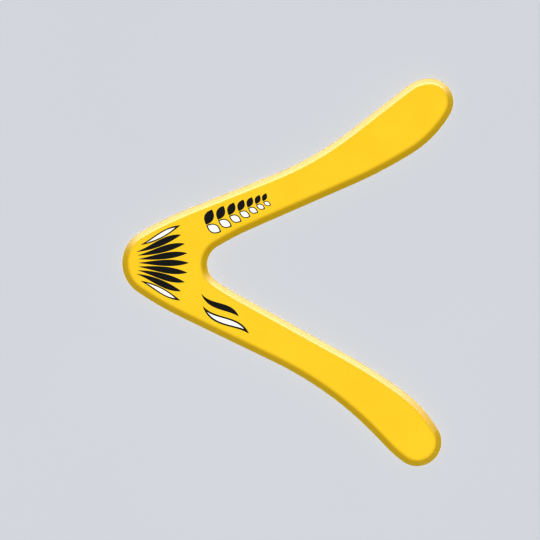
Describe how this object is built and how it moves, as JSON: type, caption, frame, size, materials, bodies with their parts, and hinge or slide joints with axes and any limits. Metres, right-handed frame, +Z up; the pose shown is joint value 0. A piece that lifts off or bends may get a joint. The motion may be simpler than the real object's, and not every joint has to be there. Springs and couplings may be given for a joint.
{
  "type": "boomerang",
  "caption": "Flat two-armed plywood boomerang with a round elbow, paddle-shaped tips and a soft rounded edge, lacquered yellow and printed with a plain black and white pattern.",
  "frame": {"origin": "on the underside, at the centre of the round nose of the elbow", "axes": "+X from the nose of the elbow towards the open side, +Y along the span towards the arm with the row of leaves, +Z up out of the printed face"},
  "size_m": [0.3077, 0.3604, 0.0064],
  "materials": {
    "birch_veneer_long": "matte",
    "birch_veneer_cross": "matte",
    "yellow_lacquer": "gloss",
    "black_ink": "satin",
    "white_ink": "satin"
  },
  "bodies": {
    "root": {"ply_01": "birch_veneer_long", "ply_02": "birch_veneer_cross", "ply_03": "birch_veneer_long", "ply_04": "birch_veneer_cross", "ply_05": "birch_veneer_long", "ply_06": "birch_veneer_cross", "ply_07": "birch_veneer_long", "ply_08": "birch_veneer_cross", "ply_09": "birch_veneer_long", "ply_10": "birch_veneer_cross", "ply_11": "birch_veneer_long", "ply_12": "birch_veneer_cross", "yellow_lacquer_coat": "yellow_lacquer", "fan_black_print": "black_ink", "leaf_row_black_print": "black_ink", "stroke_black_print": "black_ink", "stroke_rim_print": "black_ink", "fan_white_print": "white_ink", "leaf_row_white_print": "white_ink", "stroke_white_print": "white_ink"}
  },
  "joints": []
}
